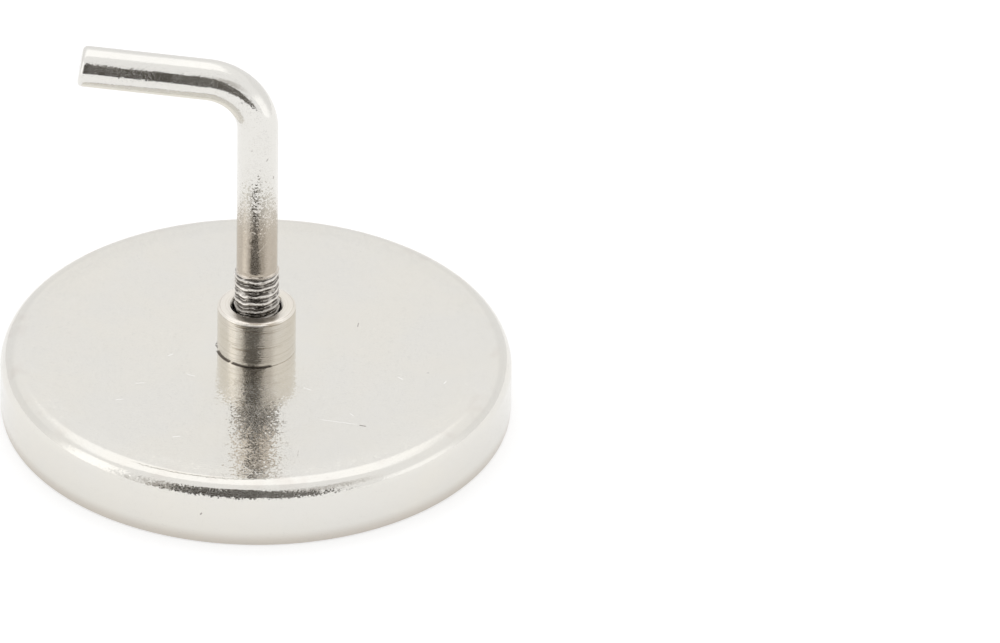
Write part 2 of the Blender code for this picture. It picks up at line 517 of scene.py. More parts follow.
def make_bed():
    """Resin bed behind the magnet, squeezed out into a wavy bead round its bore."""
    top = CUP_UNDER - BED_GAP
    low = MAGNET_THICKNESS + CLEARANCE
    bore, rim = MAGNET_BORE + BED_STEP, MAGNET_RADIUS - BED_STEP
    outline = [(bore, top)] + spread((bore, top), (rim, top), BED_RINGS)
    outline += [(rim, top), (rim, low)] + spread((rim, low), (bore, low), BED_RINGS)
    outline += [(bore, low)]
    outline += arc((bore, (top + low) / 2), (top - low) / 2, -90, -270, ROUND_PARTS)[1:-1]
    bed = turned_outline("resin_bed", outline, RING_STEPS)
    for vert in bed.data.vertices:
        radius = math.hypot(vert.co.x, vert.co.y)
        if radius < bore + BEAD_ZONE:
            angle = math.atan2(vert.co.y, vert.co.x)
            wave = sum(size * math.sin(count * angle + start) for size, count, start in BEAD_WAVES)
            vert.co.x *= 1 - wave / radius
            vert.co.y *= 1 - wave / radius
    smooth(bed, SMOOTH_RESIN)
    return bed


def make_potting():
    """Resin run into the gap round the magnet, its level drawn up at both edges."""
    middle, half = (CUP_INSIDE + MAGNET_RADIUS) / 2, (CUP_INSIDE - MAGNET_RADIUS) / 2
    top = CUP_UNDER - CLEARANCE
    outline = [(MAGNET_RADIUS, top), (CUP_INSIDE - CLEARANCE, top), (CUP_INSIDE, top - CLEARANCE)]
    for step in range(2 * POTTING_PARTS + 1):
        across = 1 - step / POTTING_PARTS
        level = POTTING_LEVEL - POTTING_CREEP * across ** POTTING_POWER
        outline.append((middle + half * across, level))
    potting = turned_outline("potting_resin", outline, RING_STEPS)
    smooth(potting, SMOOTH_RESIN)
    return potting


# Shader helpers

def feed(tree, value, socket):
    """Sets a socket to a number or a tuple, or links another node's output to it."""
    if isinstance(value, (int, float, tuple)):
        socket.default_value = value
    else:
        tree.links.new(value, socket)


def node(tree, kind, *values, **settings):
    """Adds a shader node of a kind, sets its properties and feeds its inputs in order."""
    made = tree.nodes.new("ShaderNode" + kind)
    for key, value in settings.items():
        setattr(made, key, value)
    for value, socket in zip(values, made.inputs):
        feed(tree, value, socket)
    return made


def fill(tree, made, **values):
    """Feeds a node's inputs by their names, with underscores for spaces."""
    for label, value in values.items():
        feed(tree, value, made.inputs[label.replace("_", " ")])


def maths(tree, operation, *values, clamp=False):
    return node(tree, "Math", *values, operation=operation, use_clamp=clamp).outputs[0]


def times(tree, first, *others):
    for other in others:
        first = maths(tree, "MULTIPLY", first, other)
    return first


def plus(tree, value, factor, base):
    return maths(tree, "MULTIPLY_ADD", value, factor, base)


def vectors(tree, operation, *values):
    made = node(tree, "VectorMath", *values, operation=operation)
    return made.outputs["Value" if operation in ("DOT_PRODUCT", "LENGTH") else "Vector"]


def ramp(tree, value, low, high, out_low=0, out_high=1):
    """A smooth step from one output to the other. It also runs from a high input to a low one."""
    made = node(tree, "MapRange", interpolation_type="SMOOTHSTEP")
    fill(tree, made, Value=value, From_Min=low, From_Max=high, To_Min=out_low, To_Max=out_high)
    return made.outputs["Result"]


def ramp_degrees(tree, value, low, high, *out):
    return ramp(tree, value, math.radians(low), math.radians(high), *out)


def band(tree, value, low, full, still, high):
    """One inside the two middle limits, nought outside the two outer ones."""
    return times(tree, ramp(tree, value, low, full), ramp(tree, value, high, still))


def window(tree, value, *degrees):
    """The same for an angle, with its limits in degrees."""
    return band(tree, value, *(math.radians(angle) for angle in degrees))


def fade(tree, distance, reach):
    """One at no distance, falling to nought at the reach."""
    share = maths(tree, "DIVIDE", distance, reach)
    return maths(tree, "SUBTRACT", 1, share, clamp=True)


def noise(tree, vector, scale, detail=2, roughness=0.5):
    made = node(tree, "TexNoise")
    fill(tree, made, Vector=vector, Scale=scale, Detail=detail, Roughness=roughness)
    return made.outputs["Fac"]


def cells_of(tree, place, scale):
    """Cells spread at random: the cell node's outputs and the three numbers that a cell owns."""
    cells = node(tree, "TexVoronoi", feature="F1")
    fill(tree, cells, Vector=place, Scale=scale)
    return cells.outputs, node(tree, "SeparateColor", cells.outputs["Color"]).outputs


def axes_of(tree, place):
    return tuple(node(tree, "SeparateXYZ", place).outputs)


def radius_of(tree, place):
    """Distance from the hook's turning axis and height above the contact face."""
    x, y, z = axes_of(tree, place)
    return maths(tree, "SQRT", maths(tree, "ADD", times(tree, x, x), times(tree, y, y))), z


def angle_of(tree, place):
    """Angle round the turning axis: 0 at the front, rising to the right."""
    x, y, _ = axes_of(tree, place)
    return maths(tree, "ARCTAN2", x, times(tree, y, -1))


def mix_colour(tree, mask, first, second):
    made = node(tree, "Mix", data_type="RGBA")
    for label, value in (("Factor", mask), ("A", first), ("B", second)):
        feed(tree, (*value, 1) if isinstance(value, tuple) else value, made.inputs[label])
    return made.outputs["Result"]


def bump(tree, height, depth, before=None):
    made = node(tree, "Bump")
    fill(tree, made, Strength=1, Distance=depth, Height=height)
    if before is not None:
        fill(tree, made, Normal=before)
    return made.outputs["Normal"]


def new_group(name, outputs, *places, **numbers):
    """A node group of coordinates and further places, numbers with usual values, and outputs."""
    group = bpy.data.node_groups.new(name, "ShaderNodeTree")
    add_socket = group.interface.new_socket
    for label in ("Coordinates", *places):
        add_socket(label, in_out="INPUT", socket_type="NodeSocketVector")
    for label, value in numbers.items():
        label = label.replace("_", " ")
        add_socket(label, in_out="INPUT", socket_type="NodeSocketFloat").default_value = value
    for label in outputs:
        add_socket(label, in_out="OUTPUT", socket_type="NodeSocketFloat")
    given, result = (group.nodes.new(kind) for kind in ("NodeGroupInput", "NodeGroupOutput"))
    return group, given.outputs, result.inputs


# Effects

MIDDLE_GREY = (0.5, 0.5, 0.5)
SPIKE_FOLD = 7.3
STEEPNESS = (0.65, 0.95, 0.8, 1.55)
SPECKLE_EDGES = (0.55, 0.95)
PIT_SIZES = (0.1, 0.03)
SCRATCH_LAYERS = (0, 0.0131)
SCRATCH_ENDS = (0.45, 0.25)
NICK_ENDS = (1, 0.7)


def plating_grain_group():
    """Satin nickel's crystals: each small cell tilted its own way, as a height in metres."""
    group, given, result = new_group("plating_grain", ("Height", "Speckle"),
                                     Grains_per_metre=4500, Tilt=0.12)
    cells, own = cells_of(group, given["Coordinates"], given["Grains per metre"])
    away = vectors(group, "SUBTRACT", given["Coordinates"], cells["Position"])
    lean = vectors(group, "SUBTRACT", cells["Color"], MIDDLE_GREY)
    spike = maths(group, "FRACT", times(group, own["Blue"], SPIKE_FOLD))
    steep = times(group, ramp(group, spike, *STEEPNESS), given["Tilt"])
    tilted = times(group, vectors(group, "DOT_PRODUCT", away, lean), steep)
    feed(group, tilted, result["Height"])
    feed(group, ramp(group, own["Red"], *SPECKLE_EDGES), result["Speckle"])
    return group


def give_dents(group, mask, result):
    """Puts out a mask and the drop in height that goes with it."""
    feed(group, mask, result["Mask"])
    feed(group, times(group, mask, -1), result["Height"])
    return group


def pits_group():
    """Scattered pinholes under the plating: a height that drops in each and a mask."""
    group, given, result = new_group("plating_pits", ("Height", "Mask"),
                                     Cells_per_metre=500, Share=0.2)
    cells, own = cells_of(group, given["Coordinates"], given["Cells per metre"])
    chosen = maths(group, "LESS_THAN", own["Red"], given["Share"])
    size = plus(group, own["Green"], *PIT_SIZES)
    return give_dents(group, times(group, fade(group, cells["Distance"], size), chosen), result)


def scratch_layer(group, given, offset):
    """Straight hairlines, each in its own cell and direction."""
    moved = vectors(group, "ADD", given["Coordinates"], (offset, offset * 2, offset * 3))
    cells, own = cells_of(group, moved, given["Cells per metre"])
    away = vectors(group, "SUBTRACT", moved, cells["Position"])
    turn = vectors(group, "SUBTRACT", cells["Color"], MIDDLE_GREY)
    across = vectors(group, "DOT_PRODUCT", away, vectors(group, "NORMALIZE", turn))
    across = maths(group, "ABSOLUTE", across)
    reach = times(group, vectors(group, "LENGTH", away), given["Cells per metre"])
    short = ramp(group, reach, *SCRATCH_ENDS)
    chosen = maths(group, "LESS_THAN", own["Blue"], given["Share"])
    return times(group, fade(group, across, given["Width"]), short, chosen)


def scratches_group():
    """Sparse hairlines in two layers: a height and a mask."""
    group, given, result = new_group("handling_scratches", ("Height", "Mask"),
                                     Cells_per_metre=160, Share=0.3, Width=0.00004)
    layers = [scratch_layer(group, given, offset) for offset in SCRATCH_LAYERS]
    return give_dents(group, maths(group, "MAXIMUM", *layers), result)


def nick_group():
    """One short mark at a given place and direction."""
    group, given, result = new_group("single_nick", ("Mask",), "Centre", "Along",
                                     Half_length=0.0004, Width=0.0001)
    away = vectors(group, "SUBTRACT", given["Coordinates"], given["Centre"])
    along = vectors(group, "DOT_PRODUCT", away, given["Along"])
    lane = node(group, "VectorMath", operation="SCALE")
    fill(group, lane, Vector=given["Along"], Scale=along)
    aside = vectors(group, "SUBTRACT", away, lane.outputs["Vector"])
    thin = fade(group, vectors(group, "LENGTH", aside), given["Width"])
    reach = maths(group, "DIVIDE", maths(group, "ABSOLUTE", along), given["Half length"])
    feed(group, times(group, thin, ramp(group, reach, *NICK_ENDS)), result["Mask"])
    return group


# Finishes. A noise is given as scale, detail and roughness, a stain as colour and strength

PLATE_PATCHES = (90, 3, 0.55)
PLATE_EDGES = (0.35, 0.65)
PIT_SHADE = 0.45
PIT_STRENGTH = 0.8
PATCH_DULL = 0.04
SPECKLE_DULL = 0.06
MARK_DULL = 0.1


def new_finish(name, effects, metallic=0):
    """A material with what its steps share: tree, shader inputs, coordinates and effects."""
    material = bpy.data.materials.new(name)
    material.use_nodes = True
    tree = material.node_tree
    shader = tree.nodes["Principled BSDF"].inputs
    shader["Metallic"].default_value = metallic
    place = node(tree, "TexCoord").outputs["Object"]
    return SimpleNamespace(material=material, tree=tree, shader=shader, place=place,
                           effects=effects)


def lay_effect(finish, kind, **values):
    made = node(finish.tree, "Group", node_tree=finish.effects[kind])
    fill(finish.tree, made, Coordinates=finish.place, **values)
    return made.outputs


def stain(finish, mask, colour, strength=1):
    """Lays a colour over the plate where the mask is."""
    mask = times(finish.tree, mask, strength)
    finish.plate = mix_colour(finish.tree, mask, finish.plate, colour)


def add_nicks(finish, nicks):
    """Single marks, each given as place, direction, half length, width and colour."""
    for centre, along, half, width, colour in nicks:
        nick = lay_effect(finish, "nick", Centre=centre, Along=along, Half_length=half, Width=width)
        stain(finish, nick["Mask"], colour)


def close_finish(finish, relief, before=None, pit_depth=0.00003, mark_depth=0.000006):
    """Links the colour, and the relief with pinholes and hairlines laid over it."""
    tree = finish.tree
    feed(tree, finish.plate, finish.shader["Base Color"])
    normal = bump(tree, relief, 1, before)
    normal = bump(tree, finish.pits["Height"], pit_depth, normal)
    normal = bump(tree, finish.marks["Height"], mark_depth, normal)
    feed(tree, normal, finish.shader["Normal"])
    return finish.material


def nickel_base(name, effects, colours, roughness, grains, tilt, pit_share):
    """What the three nickel finishes share: metal with patches, pinholes and hairlines."""
    finish = new_finish(name, effects, metallic=1)
    finish.grain = lay_effect(finish, "grain", Grains_per_metre=grains, Tilt=tilt)
    finish.pits = lay_effect(finish, "pits", Share=pit_share)
    finish.marks = lay_effect(finish, "scratches", Cells_per_metre=420, Share=0.16, Width=0.00003)
    tree = finish.tree
    patches = noise(tree, finish.place, *PLATE_PATCHES)
    finish.plate = mix_colour(tree, ramp(tree, patches, *PLATE_EDGES), *colours)
    shade = tuple(PIT_SHADE * part for part in colours[0])
    stain(finish, finish.pits["Mask"], shade, PIT_STRENGTH)
    rough = roughness - PATCH_DULL / 2
    for mask, dull in ((patches, PATCH_DULL), (finish.grain["Speckle"], SPECKLE_DULL),
                       (finish.marks["Mask"], MARK_DULL)):
        rough = plus(tree, mask, dull, rough)
    feed(tree, rough, finish.shader["Roughness"])
    return finish


# Cup: colours, and zones in metres from axis or contact face, or in degrees

CUP_PLATE = ((0.776, 0.753, 0.701), (0.765, 0.748, 0.708))
# Painted shadow line in the seam round the bush: colour and strength
SEAM_SHADOW_COLOUR = ((0.06, 0.045, 0.035), 0.85)
RIM_TINT = ((0.62, 0.55, 0.5), 0.22)
# Painted shade at the foot of the wall: colour and strength
MOUTH_PAINTED_SHADE = ((0.56, 0.51, 0.45), 0.75)
PALE_MARK = (0.95, 0.94, 0.92)
CALM_RIM = (0.027, 0.0284, 1, 0.5)
CALM_SEAT = (0.0062, 0.0092, 0.45, 1)
CRACKLE_TILT = 1.3
CRACKLE_HEIGHT = (0.006, 0.0064, 0.0071, 0.0074)
CRACKLE_TURN = (-36, -27, 22, 31)
CRACKLE_RADIUS = (0.0284, 0.0286)
SEAM_RADIUS = (0.00452, 0.00462, 0.00476, 0.00486)
SEAM_TURN = (-106, -98, 22, 27)
SEAM_SOLID = (-79, -74)
SEAM_BREAKUP = (2600, 0)
BREAKUP_EDGES = (0.5, 0.56, 0, 0.8)
SEAM_GAP = -39
SEAM_GAP_EDGES = (0.02, 0.05)
RIM_RADIUS = (0.0268, 0.0282)
RIM_HEIGHT = (0.007, 0.0078)
RIM_PATCHES = (260, 2, 0.5)
RIM_EDGES = (0.5, 0.68)
MOUTH_HEIGHT = (0.002, 0.0002)
MOUTH_RADIUS = (0.029, 0.0295)
SAG_RADIUS = (0.0252, 0.0285)
SAG_DEPTH = -0.00006
SHEET_WAVES = (110, 2, 0.45)
WAVE_DEPTH = 0.00003
CUP_NICKS = (
    ((0.0128, -0.0165, 0.008), (0.97, -0.24, 0), 0.00045, 0.00013, (0.2, 0.18, 0.16)),
    ((0.01, -0.0158, 0.008), (0.98, -0.2, 0), 0.0024, 0.00007, PALE_MARK),
    ((0.0118, 0.0052, 0.008), (0.1, 0.99, 0), 0.0005, 0.00008, (0.35, 0.32, 0.3)),
    ((-0.0054, -0.0295, 0.004), (0.6, 0, 0.8), 0.0002, 0.00012, (0.25, 0.22, 0.2)),
    ((-0.01, -0.0022, 0.008), (0.8, 0.6, 0), 0.0004, 0.0001, PALE_MARK),
    ((-0.0155, -0.012, 0.008), (0.98, 0.2, 0), 0.0005, 0.00009, PALE_MARK),
    ((0.017, -0.0062, 0.008), (0.7, -0.71, 0), 0.00045, 0.00009, PALE_MARK),
    ((-0.0133, -0.0084, 0.008), (0.99, 0.14, 0), 0.0006, 0.00008, PALE_MARK),
    ((-0.0074, -0.0065, 0.008), (0.94, -0.34, 0), 0.00055, 0.00008, PALE_MARK),
    ((0.0062, -0.0089, 0.008), (0.87, -0.5, 0), 0.0006, 0.00008, PALE_MARK),
    ((0.0115, -0.0142, 0.008), (0.6, -0.8, 0), 0.0004, 0.00008, PALE_MARK),
    ((-0.0086, -0.0196, 0.008), (0.98, 0.2, 0), 0.0005, 0.00009, PALE_MARK),
    ((0.0222, -0.0069, 0.008), (0.5, 0.87, 0), 0.00035, 0.00009, PALE_MARK),
)


def cup_grain(tree, radius, height, angle):
    """How steep the grain is: calmer at rim and bush, crackled on the front of the corner."""
    web = times(tree, ramp(tree, radius, *CALM_RIM), ramp(tree, radius, *CALM_SEAT))
    crackle = times(tree, band(tree, height, *CRACKLE_HEIGHT), CRACKLE_TILT,
                    window(tree, angle, *CRACKLE_TURN))
    corner = ramp(tree, radius, *CRACKLE_RADIUS)
    return plus(tree, crackle, corner, web)


def painted_seam_shadow(tree, place, radius, angle):
    """Painted shadow line in the seam round the bush: solid in front, broken up at the left, with
    one gap.
    """
    broken = ramp(tree, noise(tree, place, *SEAM_BREAKUP), *BREAKUP_EDGES)
    solid = ramp_degrees(tree, angle, *SEAM_SOLID)
    gap = maths(tree, "ABSOLUTE", maths(tree, "SUBTRACT", angle, math.radians(SEAM_GAP)))
    return times(tree, band(tree, radius, *SEAM_RADIUS), window(tree, angle, *SEAM_TURN),
                 maths(tree, "MAXIMUM", solid, broken), ramp(tree, gap, *SEAM_GAP_EDGES))


def cup_finish(effects):
    """Nickel on drawn sheet: grainy web, slow waves, marks of handling, a painted shadow line in
    the seam round the bush and painted shade low on the wall.
    """
    finish = nickel_base("satin_nickel_cup", effects, CUP_PLATE, roughness=0.08, grains=4900,
                         tilt=0.078, pit_share=0.1)
    tree, place = finish.tree, finish.place
    radius, height = radius_of(tree, place)
    angle = angle_of(tree, place)
    # Painted shadow: a dark line in the seam under the collar
    stain(finish, painted_seam_shadow(tree, place, radius, angle), *SEAM_SHADOW_COLOUR)
    patches = ramp(tree, noise(tree, place, *RIM_PATCHES), *RIM_EDGES)
    rim = times(tree, ramp(tree, radius, *RIM_RADIUS), patches, ramp(tree, height, *RIM_HEIGHT))
    stain(finish, rim, *RIM_TINT)
    add_nicks(finish, CUP_NICKS)
    # Painted shade: the wall darkens towards the mouth, a painted reflection of the floor's contact
    # shadow
    mouth = times(tree, ramp(tree, height, *MOUTH_HEIGHT), ramp(tree, radius, *MOUTH_RADIUS))
    stain(finish, mouth, *MOUTH_PAINTED_SHADE)
    relief = times(tree, finish.grain["Height"], cup_grain(tree, radius, height, angle))
    sag = bump(tree, ramp(tree, radius, *SAG_RADIUS), SAG_DEPTH)
    waves = bump(tree, noise(tree, place, *SHEET_WAVES), WAVE_DEPTH, sag)
    return close_finish(finish, relief, waves)


# Bush: colours, and zones in metres or in radians to either side of the front

BUSH_PLATE = ((0.81, 0.77, 0.71), (0.79, 0.745, 0.665))
# Colour of the tool's rings, and of the painted shade streaked on the collar's front
TOOL_MARK_AND_SHADE = (0.34, 0.28, 0.2)
# Painted shade inside the bore: colour and strength
BORE_PAINTED_SHADE = ((0.05, 0.045, 0.04), 0.85)
SHADE_FRONT = (0.85, 0.35)
SHADE_LOW = (0.0099, 0.0102, 0.0107, 0.011)
SHADE_HIGH = (0.0122, 0.0132, 0, 1.4)
STREAK_STRETCH = (260, 260, 5200)
STREAK_EDGES = (0.48, 0.6)
STREAK_STRENGTH = 0.55
RINGS_PER_METRE = 5200.0
GROOVE_EDGES = (0.56, 0.7)
GROOVE_STRENGTH = 0.16
RING_DULL = 0.04
RING_DEPTH = 0.000012
BORE_RADIUS = (0.0033, 0.0031)
BORE_HEIGHT = (0.0139, 0.0136)
FACE_CALM = (COLLAR_TOP - 0.00012, COLLAR_TOP - 0.00004, 1, 0.25)
FACE_ROUGHNESS = (COLLAR_TOP - 0.00003, COLLAR_TOP - 0.00001, 0.1, 0.3)


def front_shade_streaks(tree, place, height):
    """Painted shade: dark streaks that run round the front of the collar, low down and under its
    lip.
    """
    aside = maths(tree, "ABSOLUTE", angle_of(tree, place))
    deep = maths(tree, "ADD", band(tree, height, *SHADE_LOW), ramp(tree, height, *SHADE_HIGH))
    shade_streaks = noise(tree, vectors(tree, "MULTIPLY", place, STREAK_STRETCH), 1)
    return times(tree, ramp(tree, shade_streaks, *STREAK_EDGES), deep, ramp(tree, aside, *SHADE_FRONT),
                 STREAK_STRENGTH)


def bush_finish(effects):
    """Nickel on a turned bush: the tool's fine rings, painted shade streaked on the collar's front
    and in the bore, and a duller end.
    """
    finish = nickel_base("turned_nickel_bush", effects, BUSH_PLATE, roughness=0.1,
                         grains=4800, tilt=0.05, pit_share=0.1)
    tree, place = finish.tree, finish.place
    radius, height = radius_of(tree, place)
    turning = node(tree, "TexNoise", noise_dimensions="1D")
    fill(tree, turning, W=maths(tree, "ADD", radius, height), Scale=RINGS_PER_METRE, Detail=2)
    rings = turning.outputs["Fac"]
    grooves = ramp(tree, rings, *GROOVE_EDGES)
    shade_streaks = front_shade_streaks(tree, place, height)
    # The tool's rings all round, and painted shade in streaks on the collar's front
    marks = plus(tree, grooves, GROOVE_STRENGTH, shade_streaks)
    stain(finish, maths(tree, "MINIMUM", marks, 1), TOOL_MARK_AND_SHADE)
    # Painted shade inside the bore
    bore = times(tree, ramp(tree, radius, *BORE_RADIUS), ramp(tree, height, *BORE_HEIGHT))
    stain(finish, bore, *BORE_PAINTED_SHADE)
    rough = plus(tree, rings, RING_DULL, ramp(tree, height, *FACE_ROUGHNESS))
    feed(tree, rough, finish.shader["Roughness"])
    calm = ramp(tree, height, *FACE_CALM)
    turned = bump(tree, times(tree, rings, calm), RING_DEPTH)
    return close_finish(finish, times(tree, finish.grain["Height"], calm), turned)


# Hook: colours, and zones in metres from axis or contact face

HOOK_PLATE = ((0.79, 0.775, 0.735), (0.775, 0.76, 0.725))
LOW_SHANK_TINT = (0.65, 0.59, 0.52)
THREAD_TINT = ((0.76, 0.7, 0.64), 0.5)
# Painted shade in the thread's roots: colour and strength
ROOT_PAINTED_SHADE = ((0.09, 0.078, 0.065), 0.92)
# Painted shade on the thread by the collar's top: colour and strength
THREAD_FOOT_SHADE = (ROOT_PAINTED_SHADE[0], 0.5)
THREAD_HEIGHT = (THREAD_TOP - 0.0003, THREAD_TOP - 0.0005)
LOW_SHANK_HEIGHT = (0.031, 0.024)
ROOT_RADIUS = (0.00262, 0.00248)
ROOT_PATCHES = (900, 1, 0.5)
ROOT_EDGES = (0.32, 0.46, 0.45, 1)
THREAD_FOOT_HEIGHT = (0.0153, 0.0141)
SWELL_HEIGHT = (0.0205, 0.0395)
SWELL_DEPTH = 0.00092
GRAINY_BELOW = (0.04, 0.03)
GRAIN_PATCHES = (330, 1, 0.5)
GRAIN_EDGES = (0.46, 0.6, 0.35, 0.85)
THREAD_GRAIN = 2.0
CALM_NECK = (0.02, 0.0265, 0.5, 1)
DRAWN_LINES = (3600, 2, 0.6)
LINE_DEPTH = 0.00001
HOOK_NICKS = (
    ((0.00118, -0.00209, 0.0349), (0.6, 0, 0.8), 0.0003, 0.0001, (0.3, 0.27, 0.25)),
    ((0.00188, -0.00149, 0.0322), (0.2, 0, 0.98), 0.00022, 0.00012, (0.3, 0.27, 0.25)),
    ((-0.0006, -0.00232, 0.0362), (0.9, 0, 0.44), 0.00016, 0.00008, (0.4, 0.37, 0.34)),
)


def hook_grain(tree, place, height, threaded):
    """How steep the grain is: patchy on the arm, full on the shank, calm above the thread."""
    patchy = ramp(tree, noise(tree, place, *GRAIN_PATCHES), *GRAIN_EDGES)
    steep = maths(tree, "MAXIMUM", ramp(tree, height, *GRAINY_BELOW), patchy)
    steep = times(tree, steep, ramp(tree, height, *CALM_NECK))
    return plus(tree, threaded, THREAD_GRAIN, steep)


def hook_stains(finish, height, threaded):
    """A darker, warmer lower shank, a warm thread with painted shade in its roots and low down by
    the collar, and single nicks.
    """
    tree, place = finish.tree, finish.place
    smooth_shank = maths(tree, "SUBTRACT", 1, threaded)
    # Darker and warmer towards the bottom of the smooth shank
    stain(finish, times(tree, ramp(tree, height, *LOW_SHANK_HEIGHT), smooth_shank), LOW_SHANK_TINT)
    stain(finish, threaded, *THREAD_TINT)
    # Painted shade in the thread's roots, uneven in patches
    uneven = ramp(tree, noise(tree, place, *ROOT_PATCHES), *ROOT_EDGES)
    roots = ramp(tree, radius_of(tree, place)[0], *ROOT_RADIUS)
    stain(finish, times(tree, threaded, roots, uneven), *ROOT_PAINTED_SHADE)
    # Painted shade on the thread low down, by the collar's top
    stain(finish, ramp(tree, height, *THREAD_FOOT_HEIGHT), *THREAD_FOOT_SHADE)
    add_nicks(finish, HOOK_NICKS)


def hook_finish(effects):
    """Bright nickel on drawn bar: faint lines along it and painted shade in the thread."""
    finish = nickel_base("bright_nickel_hook", effects, HOOK_PLATE, roughness=0.07,
                         grains=5200, tilt=0.1, pit_share=0.16)
    tree, place = finish.tree, finish.place
    height = axes_of(tree, place)[2]
    threaded = ramp(tree, height, *THREAD_HEIGHT)
    hook_stains(finish, height, threaded)
    along = node(tree, "Attribute", attribute_type="GEOMETRY", attribute_name="along_bar")
    swell = bump(tree, ramp(tree, height, *SWELL_HEIGHT), SWELL_DEPTH)
    drawn = bump(tree, noise(tree, along.outputs["Vector"], *DRAWN_LINES), LINE_DEPTH, swell)
    steep = hook_grain(tree, place, height, threaded)
    return close_finish(finish, times(tree, finish.grain["Height"], steep), drawn)


# Ferrite and resins

FERRITE = ((0.035, 0.035, 0.038), (0.07, 0.07, 0.074))
FERRITE_PATCHES = (70, 4, 0.6)
FERRITE_DUST = ((0.13, 0.13, 0.135), 0.35)
FERRITE_PIT = (0.01, 0.01, 0.011)
FERRITE_ROUGHNESS = (0.25, 0.38)
GROUND_STRETCH = (180, 5200, 900)
GROUND_LINES = (1, 2, 0.6)
GROUND_EDGES = (0.58, 0.74)
GROUND_TINT = ((0.16, 0.16, 0.165), 0.7)
GROUND_SHINE = -0.15
AMBER = ((0.2, 0.11, 0.03), (0.42, 0.3, 0.13))
BLACK = ((0.012, 0.012, 0.013), (0.04, 0.04, 0.042))
RESIN_CLOUDS = (160, 3, 0.5)
RESIN_ROUGHNESS = (0.15, 0.2)
RESIN_RIPPLE = (250, 1, 0.4)
RIPPLE_DEPTH = 0.0001
BUBBLE_DEPTH = 0.00005
BUBBLE_STRENGTH = 0.5


def ferrite_finish(effects):
    """Sintered ferrite: dark grey, ground face with fine lines, open grain and pale dust."""
    finish = new_finish("ground_ferrite", effects)
    tree, place = finish.tree, finish.place
    grain = lay_effect(finish, "grain", Grains_per_metre=3000)
    finish.pits = lay_effect(finish, "pits", Cells_per_metre=700, Share=0.35)
    finish.marks = lay_effect(finish, "scratches", Cells_per_metre=260, Share=0.8)
    lines = vectors(tree, "MULTIPLY", place, GROUND_STRETCH)
    patches = noise(tree, place, *FERRITE_PATCHES)
    finish.plate = mix_colour(tree, patches, *FERRITE)
    stain(finish, grain["Speckle"], *FERRITE_DUST)
    ground = ramp(tree, noise(tree, lines, *GROUND_LINES), *GROUND_EDGES)
    stain(finish, ground, *GROUND_TINT)
    stain(finish, finish.pits["Mask"], FERRITE_PIT)
    rough = plus(tree, patches, *FERRITE_ROUGHNESS)
    rough = plus(tree, finish.marks["Mask"], GROUND_SHINE, rough)
    feed(tree, rough, finish.shader["Roughness"])
    return close_finish(finish, grain["Height"], pit_depth=0.00006, mark_depth=0.00001)


def resin_finish(name, effects, deep, pale):
    """Cast epoxy: glossy, cloudy in patches, with trapped bubbles and a slow ripple."""
    finish = new_finish(name, effects)
    tree, place = finish.tree, finish.place
    bubbles = lay_effect(finish, "pits", Cells_per_metre=900, Share=0.12)
    clouds = noise(tree, place, *RESIN_CLOUDS)
    finish.plate = mix_colour(tree, clouds, deep, pale)
    stain(finish, bubbles["Mask"], pale, BUBBLE_STRENGTH)
    feed(tree, finish.plate, finish.shader["Base Color"])
    rough = plus(tree, clouds, *RESIN_ROUGHNESS)
    feed(tree, rough, finish.shader["Roughness"])
    ripple = bump(tree, noise(tree, place, *RESIN_RIPPLE), RIPPLE_DEPTH)
    feed(tree, bump(tree, bubbles["Height"], BUBBLE_DEPTH, ripple), finish.shader["Normal"])
    return finish.material


# Studio. Directions are degrees to the right of the camera's and above the level

FLOOR_SIZE = 0.44
FLOOR_GREY = (0.55, 0.55, 0.55, 1)
FLOOR_SEEN = 0.58
FLOOR_MIRRORED = 0.54
SOFTBOX_DEPTH = (-1.4, -0.9, -0.06, 0.06)
SOFTBOX_REACH = (0.76, 0.4)
LEFT_SHARE = -0.75
TAPER_START = -0.35
TAPER = 0.45
LEAST_RISE = 0.02
SOFTBOX_LIGHT = 0.28
ROOM_LEFT = (-58, -28)
ROOM_RIGHT = (-8, 16, 1, 0.93)
ROOM_FLOOR = (-14, -11)
ROOM_CEILING = (52, 46)
ROOM_DARKNESS = 0.92
ROOM_TINT = (1, 0.93, 0.84)
WHITE = (1, 1, 1)
BEHIND_FRONT = (0, -0.3, 0, 0.08)
BEHIND_RISE = (31.5, 26)

# How the room's ceiling line falls or climbs beyond an edge: edge, slope and side
CEILING_SLOPES = ((-1, 1.05, 1), (6, -0.43, 1), (20, 1.4, 1), (8, 0.35, -1))

# Greyer or brighter patches round the hook: limits to the right, limits upwards and strength
GREY_CORNER = ((6, 20, 34, 62), (16, 26, 38, 46), 0.42)
LIT_LEFT = ((-95, -80, -66, -58), (-30, -15, 32, 42), 0.4)
LIT_RIGHT = ((53, 60, 78, 98), (-30, -15, 10, 21), 0.26)


def floor_glow(tree):
    """The floor's own light: white to the camera and nearly so in the metal."""
    path = node(tree, "LightPath").outputs
    seen = times(tree, path["Is Camera Ray"], FLOOR_SEEN)
    mirrored = times(tree, path["Is Glossy Ray"], FLOOR_MIRRORED)
    glow = node(tree, "Emission", (*WHITE, 1), maths(tree, "MAXIMUM", seen, mirrored))
    return glow.outputs[0]


def floor_opening(tree):
    """One where the floor isn't there: seen from below, and inside the cup's mouth."""
    place = node(tree, "TexCoord").outputs["Object"]
    mouth = maths(tree, "LESS_THAN", radius_of(tree, place)[0], CUP_RADIUS - CUP_WALL / 2)
    below = node(tree, "NewGeometry").outputs["Backfacing"]
    return maths(tree, "MAXIMUM", mouth, below)


